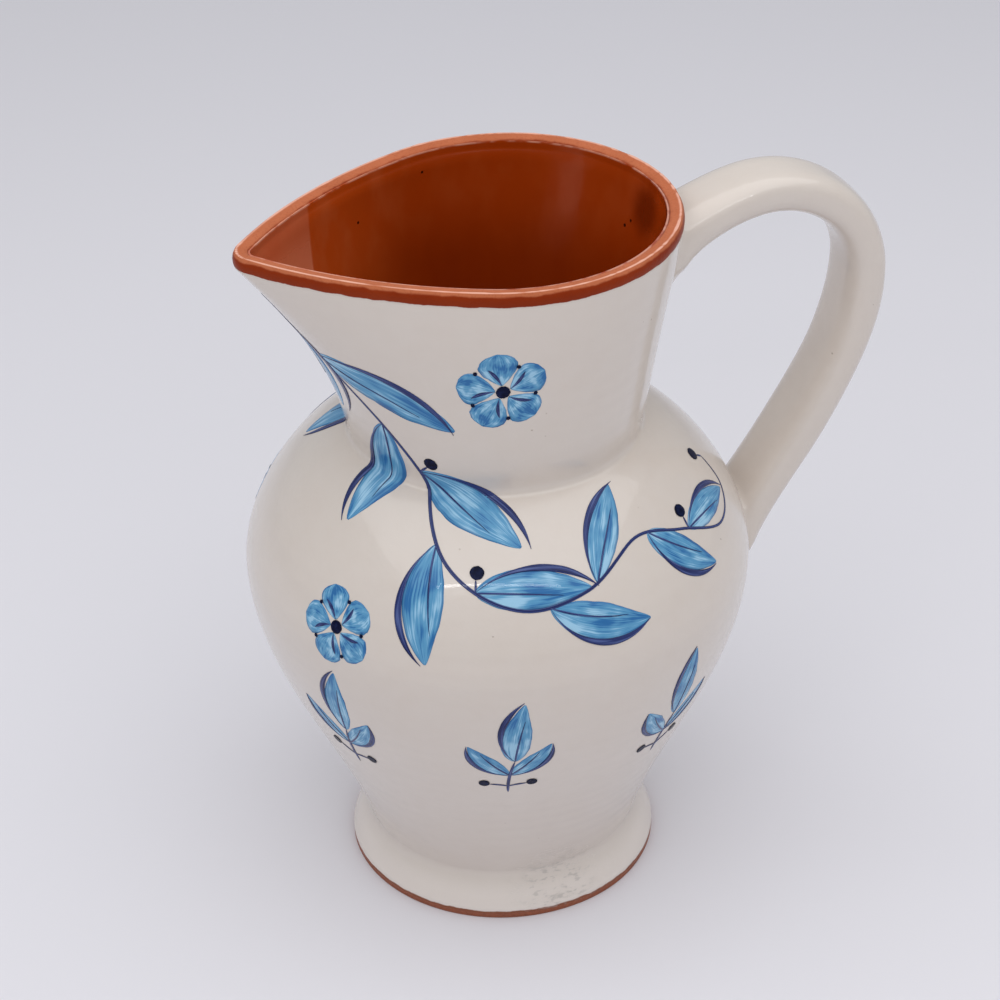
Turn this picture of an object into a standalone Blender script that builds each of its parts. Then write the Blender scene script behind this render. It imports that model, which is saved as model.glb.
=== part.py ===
"""Wheel-thrown terracotta jug with a pulled pouring lip and a strap handle.

The jug stands on the origin, +Z up, with its lip towards -X and its handle towards +X, and is the
same on both sides of the XZ plane. It is made up as the potter does it: a base disc, a flared foot,
a belly, a neck whose front is drawn out into the lip, a rolled rim, a handle pulled from a strap of
clay and pressed on at the neck and the belly, and a clear glaze poured over the inside. Sizes are in
metres.
"""
import math

import bmesh
import bpy
from mathutils import Vector
from mathutils.geometry import interpolate_bezier

# Heights, stacked from the table upwards
EDGE_HEIGHT = 0.002
FOOT_HEIGHT = 0.016
BELLY_LOWER_HEIGHT = 0.1005
SHOULDER_HEIGHT = 0.0491
NECK_LENGTH = 0.0682
BEAD_HEIGHT = 0.0048

# Outer radii of the turned parts
FOOT_RADIUS = 0.052
WAIST_RADIUS = 0.0465
BELLY_RADIUS = 0.0823
THROAT_RADIUS = 0.0458

# Clay, glaze and the joint between two pieces
WALL = 0.005
FLOOR = 0.007
GLAZE = 0.0006
GAP = 0.0003

# Mouth seen from above: a round back, two long flanks and a small round lip
MOUTH_RADIUS = 0.0522
MOUTH_SETBACK = 0.0043
LIP_REACH = 0.0778
LIP_RADIUS = 0.011
FLANK_RADIUS = 0.150
LIP_GROWTH = 2.15
BEAD_BULGE = 0.0004

# How the turned outline bends: angles from the upright, and pulls as shares of a stretch
WAIST_FLARE = 0.28
WAIST_PULL = 0.38
BELLY_PULL_DOWN = 0.31
BELLY_PULL_UP = 0.40
SHOULDER_SLOPE = 0.30
SHOULDER_PULL = 0.45
NECK_SWELL = 0.0038
NECK_SWELL_HEIGHT = 0.0065
NECK_STRAIGHT = 0.65
FOOT_SKIRT_IN = 0.33
FOOT_SKIRT_UP = 0.36
FOOT_HOLLOW = 0.24

# Base disc, the plug on it that fills the foot, and the corner inside
EDGE_BEVEL = 0.0005
PLUG_RADIUS = 0.033
FOOT_LIP = 0.002
FOOT_LIP_ROUNDING = 0.0002
CORNER_OUT = 0.55
CORNER_UP = 0.47

# Strap handle: its section, and its route in the XZ plane
STRAP_WIDTH = 0.023
STRAP_WIDTH_LOW = 0.0245
STRAP_TOP = 0.0135
STRAP_LEG = 0.014
STRAP_SQUARE = 2.6
STRAP_EVEN_UNTIL = 0.25
STRAP_HEAVY_FROM = 0.55
GRIP_DEPTH = 0.0418
CROWN_OUT = 0.0337
CROWN_BELOW_RIM = 0.0072
ELBOW_BELOW_RIM = 0.0394
ROOT_BELOW_RIM = 0.0178
LEG_ROOT_BELOW_WIDEST = 0.0084
ROOT_ANGLE = 0.33
LEG_ANGLE = 1.03
PULL_OVER = 0.34
PULL_ACROSS = 0.55
PULL_DOWN = 0.55
PULL_LEG = 0.35
PULL_HOME = 0.41

# Where the strap is pressed on: how deep it starts, how its roots flare and droop, and how the
# leg's end is thinned until it lies flush with the belly
ROOT_SINK = 0.006
ROOT_TAIL = 0.008
ROOT_FLARE = 0.0045
ROOT_DROOP = 0.32
LEG_TAIL = 0.022
LEG_FLARE = 0.006
LEG_END = 0.008
LEG_THINNING = 0.018
FLARE_LENGTH = 0.007

# Fineness
STATIONS = 48
STRAP_SIDES = 16
STRAP_STEPS = 12
BEAD_STEPS = 9

# Heights worked out from the stack
WAIST_Z = FOOT_HEIGHT
WIDEST_Z = WAIST_Z + BELLY_LOWER_HEIGHT
THROAT_Z = WIDEST_Z + SHOULDER_HEIGHT
MOUTH_Z = THROAT_Z + NECK_LENGTH
RIM_Z = MOUTH_Z + BEAD_HEIGHT


def material(name, colour, roughness, coat=0.0):
    """A clay or glaze finish."""
    made = bpy.data.materials.new(name)
    made.use_nodes = True
    shader = made.node_tree.nodes["Principled BSDF"]
    shader.inputs["Base Color"].default_value = (*colour, 1.0)
    shader.inputs["Metallic"].default_value = 0.0
    shader.inputs["Roughness"].default_value = roughness
    shader.inputs["Coat Weight"].default_value = coat
    made.diffuse_color = (*colour, 1.0)
    return made


def stretch(start, leave, arrive, end, steps):
    """Points (radius, height) of one smooth stretch of an outline."""
    corners = [Vector((r, 0.0, z)) for r, z in (start, leave, arrive, end)]
    return [(p.x, p.z) for p in interpolate_bezier(*corners, steps + 1)]


def moved_in(outline, distance):
    """The same outline, drawn towards the inside of the jug; the outline runs upwards."""
    moved = []
    last = len(outline) - 1
    for i, (r, z) in enumerate(outline):
        before = outline[max(i - 1, 0)]
        after = outline[min(i + 1, last)]
        along = Vector((after[0] - before[0], after[1] - before[1])).normalized()
        moved.append((r - along.y * distance, z + along.x * distance))
    return moved


def point_at_height(outline, height):
    """Where an outline that runs upwards crosses a height."""
    for (r0, z0), (r1, z1) in zip(outline, outline[1:]):
        if z0 <= height <= z1:
            return (r0 + (r1 - r0) * (height - z0) / (z1 - z0), height)
    return (outline[-1][0], height)


def directions():
    """The outward direction at each station round the jug, from the handle's side."""
    turns = [2.0 * math.pi * i / STATIONS for i in range(STATIONS)]
    return [Vector((math.cos(turn), math.sin(turn), 0.0)) for turn in turns]


def mouth_point(direction):
    """The mouth's outline, along the middle of the rim, where it faces a direction.

    Back, flanks and lip are arcs that run into each other, so the arc that faces a direction is
    found from where the arcs meet, and the point lies on it.
    """
    back = Vector((MOUTH_SETBACK, 0.0, 0.0))
    lip = Vector((LIP_RADIUS - LIP_REACH, 0.0, 0.0))
    to_back = FLANK_RADIUS - MOUTH_RADIUS
    to_lip = FLANK_RADIUS - LIP_RADIUS
    apart = back.x - lip.x
    flank_x = lip.x + (to_lip ** 2 - to_back ** 2 + apart ** 2) / (2.0 * apart)
    flank_y = math.sqrt(to_lip ** 2 - (flank_x - lip.x) ** 2)
    side = 1.0 if direction.y >= 0.0 else -1.0
    flank = Vector((flank_x, -side * flank_y, 0.0))
    if direction.x >= (back - flank).normalized().x:
        return back + MOUTH_RADIUS * direction
    if direction.x <= (lip - flank).normalized().x:
        return lip + LIP_RADIUS * direction
    return flank + FLANK_RADIUS * direction


def round_ring(point):
    """A level of a turned part."""
    r, z = point
    return [r * way + Vector((0.0, 0.0, z)) for way in directions()]


def mouth_ring(outward, height):
    """A level of the rim, so far outside the middle of its bead."""
    lift = Vector((0.0, 0.0, height))
    return [mouth_point(way) + outward * way + lift for way in directions()]


def neck_ring(point, outward):
    """A level of the neck: round at the throat, and more and more like the mouth above it."""
    r, z = point
    risen = (z - THROAT_Z) / NECK_LENGTH
    drawn = min(max(risen, 0.0), 1.0) ** LIP_GROWTH
    level = []
    for way in directions():
        thrown = r * way
        pulled = mouth_point(way) + 0.5 * WALL * way
        level.append(thrown.lerp(pulled, drawn) + outward * way + Vector((0.0, 0.0, z)))
    return level


def loft(name, rings, finish, closed):
    """One solid through a run of levels; closed joins the last level to the first."""
    shape = bmesh.new()
    loops = [[shape.verts.new(corner) for corner in ring] for ring in rings]
    count = len(loops[0])
    pairs = list(zip(loops, loops[1:]))
    if closed:
        pairs.append((loops[-1], loops[0]))
    for low, high in pairs:
        for i in range(count):
            j = (i + 1) % count
            shape.faces.new((low[i], low[j], high[j], high[i]))
    if not closed:
        shape.faces.new(list(reversed(loops[0])))
        shape.faces.new(loops[-1])
    bmesh.ops.recalc_face_normals(shape, faces=shape.faces)
    mesh = bpy.data.meshes.new(name)
    shape.to_mesh(mesh)
    shape.free()
    mesh.shade_smooth()
    mesh.set_sharp_from_angle(angle=math.radians(35.0))
    made = bpy.data.objects.new(name, mesh)
    bpy.context.scene.collection.objects.link(made)
    if finish:
        mesh.materials.append(finish)
    return made


def foot_outline():
    """The foot's flared side, from just above the bare edge up to the waist."""
    tip = (FOOT_RADIUS, EDGE_HEIGHT + GAP)
    brow = (FOOT_RADIUS - FOOT_LIP_ROUNDING, EDGE_HEIGHT + FOOT_LIP)
    rise = WAIST_Z - brow[1]
    inwards = brow[0] - WAIST_RADIUS
    hollow = FOOT_HOLLOW * rise
    leave = (brow[0] - FOOT_SKIRT_IN * inwards, brow[1] + FOOT_SKIRT_UP * rise)
    arrive = (WAIST_RADIUS - hollow * math.tan(WAIST_FLARE), WAIST_Z - hollow)
    return [tip] + stretch(brow, leave, arrive, (WAIST_RADIUS, WAIST_Z), 5)


def belly_outline():
    """The belly's outer side from the waist to the crease under the neck."""
    pull = WAIST_PULL * BELLY_LOWER_HEIGHT
    lower = stretch(
        (WAIST_RADIUS, WAIST_Z),
        (WAIST_RADIUS + pull * math.sin(WAIST_FLARE), WAIST_Z + pull * math.cos(WAIST_FLARE)),
        (BELLY_RADIUS, WIDEST_Z - BELLY_PULL_DOWN * BELLY_LOWER_HEIGHT),
        (BELLY_RADIUS, WIDEST_Z), 8)
    reach = SHOULDER_PULL * (BELLY_RADIUS - THROAT_RADIUS)
    upper = stretch(
        (BELLY_RADIUS, WIDEST_Z),
        (BELLY_RADIUS, WIDEST_Z + BELLY_PULL_UP * SHOULDER_HEIGHT),
        (THROAT_RADIUS + reach, THROAT_Z - reach * math.tan(SHOULDER_SLOPE)),
        (THROAT_RADIUS, THROAT_Z), 7)
    return lower + upper[1:]


def neck_outline():
    """The neck's outer side as it was thrown, before the lip was drawn out."""
    mouth = (MOUTH_RADIUS + 0.5 * WALL, MOUTH_Z)
    swell = (THROAT_RADIUS + NECK_SWELL, THROAT_Z + NECK_SWELL_HEIGHT)
    upright = (THROAT_RADIUS + NECK_SWELL, MOUTH_Z - NECK_STRAIGHT * NECK_LENGTH)
    return stretch((THROAT_RADIUS, THROAT_Z), swell, upright, mouth, 9)


def belly_inside(outline):
    """The belly's inner side, rounded over into the throat."""
    throat = THROAT_RADIUS - WALL
    rounding = 0.5 * WALL
    inner = moved_in(outline, WALL)
    seat_z = WAIST_Z + GAP
    seat = point_at_height(inner, seat_z)
    if inner[0][1] > seat_z:
        seat = (inner[0][0] - (inner[0][1] - seat_z) * math.tan(WAIST_FLARE), seat_z)
    kept = [p for p in inner if p[1] > seat_z + rounding and p[0] > throat + rounding]
    return [seat] + kept + [(throat, THROAT_Z - GAP)]


def foot_inside(top_radius):
    """The rounded corner inside, from the floor up to the joint with the belly."""
    rise = WAIST_Z - FLOOR
    run = top_radius - PLUG_RADIUS
    leave = (PLUG_RADIUS + CORNER_OUT * run, FLOOR)
    arrive = (top_radius, WAIST_Z - CORNER_UP * rise)
    return stretch((PLUG_RADIUS + GAP, FLOOR), leave, arrive, (top_radius, WAIST_Z), 4)


def bead_section():
    """The rim's section: (outward, height) round a bead that sits flat on the neck's top."""
    half = 0.5 * WALL
    wide = half + BEAD_BULGE
    seat = math.acos(half / wide)
    tall = BEAD_HEIGHT / (1.0 + math.sin(seat))
    middle = MOUTH_Z + tall * math.sin(seat)
    sweep = math.pi + 2.0 * seat
    turns = [-seat + sweep * i / BEAD_STEPS for i in range(BEAD_STEPS + 1)]
    return [(wide * math.cos(turn), middle + tall * math.sin(turn)) for turn in turns]


def make_base(clay):
    """The floor: a disc with a bare, slightly rubbed edge, and a plug that fills the foot."""
    outline = [
        (FOOT_RADIUS - EDGE_BEVEL, 0.0),
        (FOOT_RADIUS, EDGE_BEVEL),
        (FOOT_RADIUS, EDGE_HEIGHT),
        (PLUG_RADIUS, EDGE_HEIGHT),
        (PLUG_RADIUS, FLOOR),
    ]
    return loft("base", [round_ring(p) for p in outline], clay, closed=False)


def make_foot(outline, inside, white):
    """The flared foot ring, seated on the base disc round its plug."""
    seat = (PLUG_RADIUS + GAP, EDGE_HEIGHT + GAP)
    round_it = outline + list(reversed(inside)) + [seat]
    return loft("foot", [round_ring(p) for p in round_it], white, closed=True)


def make_belly(outline, inside, white):
    """The belly and shoulder, between the foot's joint and the crease under the neck."""
    low = point_at_height(outline, WAIST_Z + GAP)
    high = (THROAT_RADIUS, THROAT_Z - GAP)
    outer = [low] + outline[1:-1] + [high]
    round_it = outer + list(reversed(inside))
    return loft("belly", [round_ring(p) for p in round_it], white, closed=True)


def make_neck(outline, white):
    """The neck, whose front is drawn out into the pouring lip while its back stays round."""
    top = (outline[-1][0], MOUTH_Z - GAP)
    levels = outline[:-1] + [top]
    outer = [neck_ring(p, 0.0) for p in levels]
    inner = [neck_ring(p, -WALL) for p in reversed(levels)]
    return loft("neck", outer + inner, white, closed=True)


def make_rim(clay):
    """The bare clay bead that follows the mouth round the back, the flanks and the lip."""
    rings = [mouth_ring(outward, height) for outward, height in bead_section()]
    return loft("rim", rings, clay, closed=True)


def make_lining(corner, belly_in, neck_out, glaze):
    """The clear glaze over floor, belly and neck, as one skin up to the rim."""
    turned = [(PLUG_RADIUS, FLOOR)] + corner[1:] + belly_in[1:]
    top = (neck_out[-1][0], MOUTH_Z - GAP)
    thrown = neck_out[1:-1] + [top]
    skins = []
    for depth in (GAP, GAP + GLAZE):
        skin = [round_ring(p) for p in moved_in(turned, depth)]
        skin += [neck_ring(p, -WALL - depth) for p in thrown]
        skins.append(skin)
    return loft("lining", skins[0] + list(reversed(skins[1])), glaze, closed=False)


def body_outside(belly_out, neck_out):
    """Everything that the handle is pressed on, grown by the joint, as a cutter."""
    rings = [round_ring((r + GAP, z)) for r, z in belly_out]
    rings += [neck_ring(p, GAP) for p in neck_out[1:]]
    rings += [mouth_ring(outward + GAP, height) for outward, height in bead_section()[:5]]
    cutter = loft("body_outside", rings, None, closed=False)
    cutter.hide_render = True
    cutter.display_type = "WIRE"
    return cutter


def strap_route(belly_out, neck_out):
    """The middle of the strap: off the neck, over the crown, round the elbow, down to the belly."""
    root_z = RIM_Z - ROOT_BELOW_RIM
    thrown = point_at_height(neck_out, root_z)
    neck_x = neck_ring(thrown, 0.0)[0].x
    leg_z = WIDEST_Z - LEG_ROOT_BELOW_WIDEST
    belly_x = point_at_height(belly_out, leg_z)[0]
    out = Vector((math.cos(ROOT_ANGLE), 0.0, math.sin(ROOT_ANGLE)))
    home = Vector((-math.cos(LEG_ANGLE), 0.0, -math.sin(LEG_ANGLE)))
    root = Vector((neck_x, 0.0, root_z)) - ROOT_SINK * out
    crown = Vector((neck_x + CROWN_OUT, 0.0, RIM_Z - CROWN_BELOW_RIM))
    elbow = Vector((BELLY_RADIUS + GRIP_DEPTH, 0.0, RIM_Z - ELBOW_BELOW_RIM))
    leg = Vector((belly_x, 0.0, leg_z)) + ROOT_SINK * home
    level = Vector((1.0, 0.0, 0.0))
    fall = Vector((0.0, 0.0, -1.0))
    over = PULL_OVER * (crown.x - root.x)
    across = PULL_ACROSS * (elbow.x - crown.x)
    down = PULL_DOWN * (crown.z - elbow.z)
    drop = PULL_LEG * (elbow.z - leg.z)
    press = PULL_HOME * (elbow.z - leg.z)
    bends = [
        (root, root + over * out, crown - over * level, crown),
        (crown, crown + across * level, elbow - down * fall, elbow),
        (elbow, elbow + drop * fall, leg - press * home, leg),
    ]
    route = [root - ROOT_TAIL * out, root]
    for bend in bends:
        route += list(interpolate_bezier(*bend, STRAP_STEPS + 1))[1:]
    tail = [leg + LEG_TAIL * home * i / 4.0 for i in range(1, 5)]
    return route + tail


def squared(value):
    """A sine or cosine, pushed outwards so that an oval gets fuller corners."""
    return math.copysign(abs(value) ** (2.0 / STRAP_SQUARE), value)


def make_handle(belly_out, neck_out, white):
    """The pulled strap: an oval swept along its route, thicker in the leg, flared at both roots."""
    route = strap_route(belly_out, neck_out)
    travelled = [0.0]
    for before, after in zip(route, route[1:]):
        travelled.append(travelled[-1] + (after - before).length)
    total = travelled[-1] - LEG_TAIL + ROOT_TAIL
    inside = ROOT_SINK + ROOT_TAIL
    rings = []
    for i, middle in enumerate(route):
        along = (route[min(i + 1, len(route) - 1)] - route[max(i - 1, 0)]).normalized()
        outward = Vector((-along.z, 0.0, along.x))
        gone = travelled[i] / total
        share = (gone - STRAP_EVEN_UNTIL) / (STRAP_HEAVY_FROM - STRAP_EVEN_UNTIL)
        share = min(max(share, 0.0), 1.0)
        heavier = share * share * (3.0 - 2.0 * share)
        off_neck = max(travelled[i] - inside, 0.0)
        off_belly = max(total - travelled[i] - inside, 0.0)
        at_root = ROOT_FLARE * math.exp(-off_neck / FLARE_LENGTH)
        at_leg = LEG_FLARE * math.exp(-off_belly / FLARE_LENGTH)
        thinned = min(max((travelled[i] - travelled[-1] + LEG_THINNING) / LEG_THINNING, 0.0), 1.0)
        thick = STRAP_TOP + (STRAP_LEG - STRAP_TOP) * heavier + at_root
        thick += (LEG_END - thick) * thinned
        wide = STRAP_WIDTH + (STRAP_WIDTH_LOW - STRAP_WIDTH) * heavier + at_root + at_leg
        heart = middle - ROOT_DROOP * at_root * outward
        ring = []
        for k in range(STRAP_SIDES):
            turn = 2.0 * math.pi * (k + 0.5) / STRAP_SIDES
            sideways = 0.5 * wide * squared(math.cos(turn))
            upwards = 0.5 * thick * squared(math.sin(turn))
            ring.append(heart + Vector((0.0, sideways, 0.0)) + upwards * outward)
        rings.append(ring)
    handle = loft("handle", rings, white, closed=False)
    trim = handle.modifiers.new("pressed_on", "BOOLEAN")
    trim.operation = "DIFFERENCE"
    trim.object = body_outside(belly_out, neck_out)
    return handle


for old in list(bpy.data.objects):
    bpy.data.objects.remove(old, do_unlink=True)

bare_clay = material("bare_terracotta", (0.42, 0.13, 0.065), 0.62)
white_glaze = material("white_glaze", (0.68, 0.61, 0.57), 0.16, 0.5)
clear_glaze = material("clear_glaze_on_terracotta", (0.27, 0.045, 0.006), 0.12, 0.6)

belly_out = belly_outline()
belly_in = belly_inside(belly_out)
neck_out = neck_outline()
corner = foot_inside(belly_in[0][0])

make_base(bare_clay)
make_foot(foot_outline(), corner, white_glaze)
make_belly(belly_out, belly_in, white_glaze)
make_neck(neck_out, white_glaze)
make_rim(bare_clay)
make_lining(corner, belly_in, neck_out, clear_glaze)
make_handle(belly_out, neck_out, white_glaze)
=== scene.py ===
"""Wheel-thrown terracotta jug, white glazed outside and clear glazed inside, with a brush painted vine.

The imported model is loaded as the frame, and each thrown part gets its fine shape and its finish. Sizes
are in metres, +Z up, with the pouring lip towards -X and the handle towards +X.
"""
import math
import random

import bpy
from mathutils import Matrix, Vector, noise
from mathutils.geometry import interpolate_bezier


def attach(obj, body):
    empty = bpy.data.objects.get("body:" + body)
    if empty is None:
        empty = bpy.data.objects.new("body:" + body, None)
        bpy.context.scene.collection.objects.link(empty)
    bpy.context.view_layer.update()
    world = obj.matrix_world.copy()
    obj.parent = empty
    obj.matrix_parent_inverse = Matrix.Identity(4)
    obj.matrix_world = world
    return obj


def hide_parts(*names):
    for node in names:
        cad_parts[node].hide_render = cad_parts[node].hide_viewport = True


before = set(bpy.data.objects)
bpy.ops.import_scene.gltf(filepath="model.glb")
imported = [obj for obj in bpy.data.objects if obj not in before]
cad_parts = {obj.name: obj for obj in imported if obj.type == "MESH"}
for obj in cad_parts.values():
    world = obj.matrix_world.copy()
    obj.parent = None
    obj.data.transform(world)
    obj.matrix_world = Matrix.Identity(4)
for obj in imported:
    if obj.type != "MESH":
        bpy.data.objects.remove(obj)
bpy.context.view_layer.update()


# The base is the disc that was left on the wheel when the jug was cut off with a wire. It is bare
# terracotta. The glaze was wiped off its edge, so that the jug would not stick to the kiln shelf.
EDGE_HEIGHT = 0.002
EDGE_BEVEL = 0.0005
FOOT_RADIUS = 0.052
PLUG_RADIUS = 0.033
FLOOR = 0.007
WIRE_FROM = (0.03, 0.05, 0.0)
CLAY_RED = (0.27, 0.070, 0.028, 1.0)
CLAY_ORANGE = (0.37, 0.110, 0.050, 1.0)
CLAY_PITTED = (0.20, 0.050, 0.020, 1.0)
SWAY = 0.0003
FINGER_MARK = 0.000012
TURNS = 240
SEWN = 0.000002


class Value:
    """An output of a shader node, which can be used in sums like a number."""

    def __init__(self, finish, socket):
        self.finish = finish
        self.socket = socket

    def sum(self, operation, first, second):
        """One Math node."""
        return self.finish.node("ShaderNodeMath", {"operation": operation}, {0: first, 1: second})

    def __add__(self, other):
        return self.sum("ADD", self, other)

    def __radd__(self, other):
        return self.sum("ADD", other, self)

    def __sub__(self, other):
        return self.sum("SUBTRACT", self, other)

    def __rsub__(self, other):
        return self.sum("SUBTRACT", other, self)

    def __mul__(self, other):
        return self.sum("MULTIPLY", self, other)

    def __rmul__(self, other):
        return self.sum("MULTIPLY", other, self)


class Finish:
    """A clay, glaze or paint: one Principled shader and the nodes that feed it."""

    def __init__(self, name, coat=0.0, coat_roughness=0.1):
        self.material = bpy.data.materials.new(name)
        self.material.use_nodes = True
        self.tree = self.material.node_tree
        self.shader = self.tree.nodes["Principled BSDF"]
        self.shader.inputs["Coat Weight"].default_value = coat
        self.shader.inputs["Coat Roughness"].default_value = coat_roughness
        self.place = self.node("ShaderNodeTexCoord", {}, {}, "Object")

    def feed(self, socket, value):
        """A socket linked to a value, or set to a number or colour."""
        if isinstance(value, Value):
            self.tree.links.new(value.socket, socket)
        else:
            socket.default_value = value

    def node(self, kind, settings, sockets, output=0):
        """Any shader node: its settings first, then the numbers or values of its sockets."""
        made = self.tree.nodes.new(kind)
        for setting, choice in settings.items():
            setattr(made, setting, choice)
        for socket, value in sockets.items():
            self.feed(made.inputs[socket], value)
        return Value(self, made.outputs[output])

    def grain(self, size, detail=2.0, stretch=(1.0, 1.0, 1.0), where=None):
        """Cloudy noise whose lumps are about so large, in metres."""
        spread = self.node("ShaderNodeVectorMath", {"operation": "MULTIPLY"},
                           {0: where or self.place, 1: stretch})
        return self.node("ShaderNodeTexNoise", {}, {"Vector": spread, "Scale": 1.0 / size, "Detail": detail})

    def coordinate(self, axis, where=None):
        """How far along X, Y or Z a point of the piece lies."""
        return self.node("ShaderNodeSeparateXYZ", {}, {"Vector": where or self.place}, axis)

    def distance(self, spot):
        """How far a point of the piece lies from a spot."""
        return self.node("ShaderNodeVectorMath", {"operation": "DISTANCE"},
                         {0: self.place, 1: spot}, "Value")

    def ramp(self, value, start, end):
        """0 at the start and 1 at the end, with a soft step between them, which may run either way."""
        return self.node("ShaderNodeMapRange", {"interpolation_type": "SMOOTHSTEP"},
                         {"Value": value, "From Min": start, "From Max": end})

    def mix(self, first, second, share):
        """Two colours mixed by a share."""
        return self.node("ShaderNodeMix", {"data_type": "RGBA"}, {0: share, 6: first, 7: second}, 2)

    def bump(self, height, distance, under=None):
        """A normal for bumps of that height, on top of other bumps."""
        sockets = {"Height": height, "Distance": distance, "Strength": 1.0}
        if under:
            sockets["Normal"] = under
        return self.node("ShaderNodeBump", {}, sockets)

    def wear(self, colour, roughness, normal):
        """The colour, roughness and bumps of the finish."""
        self.feed(self.shader.inputs["Base Color"], colour)
        self.feed(self.shader.inputs["Roughness"], roughness)
        self.feed(self.shader.inputs["Normal"], normal)


def stretch(start, leave, arrive, end, steps):
    """Points (radius, height) of one smooth stretch of an outline."""
    corners = [Vector((r, 0.0, z)) for r, z in (start, leave, arrive, end)]
    return [(p.x, p.z) for p in interpolate_bezier(*corners, steps + 1)]


def turned(name, outline, closed, finish):
    """A part thrown on the wheel: its section drawn as a curve, then spun round the axis."""
    bpy.ops.object.select_all(action="DESELECT")
    bpy.ops.curve.primitive_bezier_curve_add()
    piece = bpy.context.object
    curve = piece.data
    curve.splines.clear()
    drawn = curve.splines.new("POLY")
    drawn.points.add(len(outline) - 1)
    for point, (radius, height) in zip(drawn.points, outline):
        point.co = (radius, 0.0, height, 1.0)
    drawn.use_cyclic_u = closed
    bpy.ops.object.convert(target="MESH")
    piece = bpy.context.object
    piece.name = name
    piece.data.name = name
    bpy.ops.object.mode_set(mode="EDIT")
    bpy.ops.mesh.select_all(action="SELECT")
    bpy.ops.mesh.spin(steps=TURNS, angle=math.tau, center=(0.0, 0.0, 0.0), axis=(0.0, 0.0, 1.0))
    bpy.ops.mesh.select_all(action="SELECT")
    bpy.ops.mesh.remove_doubles(threshold=SEWN)
    bpy.ops.mesh.normals_make_consistent(inside=False)
    bpy.ops.object.mode_set(mode="OBJECT")
    bpy.ops.object.shade_smooth_by_angle(angle=math.radians(40.0))
    piece.data.materials.append(finish.material)
    return piece


def hand_thrown(spot):
    """A point of the jug as hands make it: a little out of round, with faint rings from the fingers."""
    out = Vector((spot.x, spot.y, 0.0))
    if out.length < 0.001:
        return spot
    way = out.normalized()
    sway = noise.noise(Vector((1.3 * way.x, 1.3 * way.y, 16.0 * spot.z)))
    ring = math.sin(1150.0 * spot.z + math.atan2(way.y, way.x) + 4.0 * sway)
    return spot + (SWAY * sway + FINGER_MARK * ring) * way


def reshape(piece, shape):
    """Every corner of a piece moved by hand."""
    for corner in piece.data.vertices:
        corner.co = shape(corner.co)


# The bare clay is matte, a little patchy and sandy, with the shell shaped marks of the wire.
bare = Finish("bare_terracotta")
patches = bare.grain(0.012, 3.0)
sand = bare.grain(0.0006, 2.0)
smears = bare.grain(0.003, 3.0, (1.0, 1.0, 3.0))
colour = bare.mix(CLAY_RED, CLAY_ORANGE, patches)
colour = bare.mix(colour, CLAY_PITTED, 0.6 * bare.ramp(sand, 0.55, 0.75))
off_centre = bare.node("ShaderNodeVectorMath", {"operation": "ADD"}, {0: bare.place, 1: WIRE_FROM})
wire = bare.node("ShaderNodeTexWave", {"wave_type": "RINGS", "rings_direction": "Z"},
                 {"Vector": off_centre, "Scale": 70.0, "Distortion": 2.0, "Detail": 2.0,
                  "Detail Scale": 40.0})
normal = bare.bump(sand, 0.00008)
normal = bare.bump(smears, 0.0003, normal)
normal = bare.bump(wire, 0.0003, normal)
bare.wear(colour, 0.5 + 0.15 * patches, normal)

base_outline = [(0.0, 0.0)]
base_outline += [(FOOT_RADIUS - EDGE_BEVEL, 0.0), (FOOT_RADIUS - 0.3 * EDGE_BEVEL, 0.3 * EDGE_BEVEL)]
base_outline += [(FOOT_RADIUS, EDGE_BEVEL), (FOOT_RADIUS, EDGE_HEIGHT)]
base_outline += [(PLUG_RADIUS, EDGE_HEIGHT), (PLUG_RADIUS, FLOOR), (0.0, FLOOR)]
base = turned("base_disc", base_outline, False, bare)
reshape(base, hand_thrown)
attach(base, "root")
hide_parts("base")


# The foot is a flared ring, turned with a tool when the clay was firm. It is dipped in white glaze,
# which ends in a slightly ragged line above the bare edge of the base.
FOOT_LIP = 0.002
FOOT_LIP_ROUNDING = 0.0002
WAIST_Z = 0.016
WAIST_RADIUS = 0.0465
WAIST_FLARE = 0.28
FOOT_SKIRT_IN = 0.33
FOOT_SKIRT_UP = 0.36
FOOT_HOLLOW = 0.24
WALL = 0.005
SEAT_GAP = 0.0002
SCUFF_PLACE = (0.0035, -0.0485, 0.009)
GLAZE_COAT = 0.6
GLAZE_WHITE = (0.685, 0.615, 0.555, 1.0)
GLAZE_CREAM = (0.655, 0.575, 0.51, 1.0)
GLAZE_MILKY = (0.71, 0.65, 0.60, 1.0)
GLAZE_THICK = (0.78, 0.71, 0.66, 1.0)
IRON_SPECK = (0.30, 0.22, 0.17, 1.0)
CLAY_LAID_BARE = (0.24, 0.070, 0.030, 1.0)
SCUFF_GREY = (0.36, 0.335, 0.31, 1.0)

# The tin glaze is warm white and glossy over the red clay, faintly ringed, with iron specks. It ran
# thicker down to the skirt of the foot, and it is scuffed there.
white = Finish("white_glaze", GLAZE_COAT, 0.025)
clouds = white.grain(0.03, 2.0)
thin = white.grain(0.006, 3.0)
cells = {"Vector": white.place, "Scale": 240.0}
middle = white.node("ShaderNodeTexVoronoi", {"feature": "F1"}, cells, "Distance")
tint = white.node("ShaderNodeTexVoronoi", {"feature": "F1"}, cells, "Color")
picked = white.ramp(white.node("ShaderNodeSeparateColor", {}, {"Color": tint}), 0.93, 0.95)
specks = (1.0 - white.ramp(middle, 0.04, 0.10)) * picked
height = white.coordinate("Z")
worn_off = white.ramp(height + 0.0012 * white.grain(0.004, 4.0), 0.0037, 0.0032)
rubbed = white.grain(0.0013, 6.0, (0.45, 0.6, 1.3))
scuffed = white.ramp(white.distance(SCUFF_PLACE), 0.020, 0.004) * white.ramp(rubbed, 0.47, 0.66)
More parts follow.
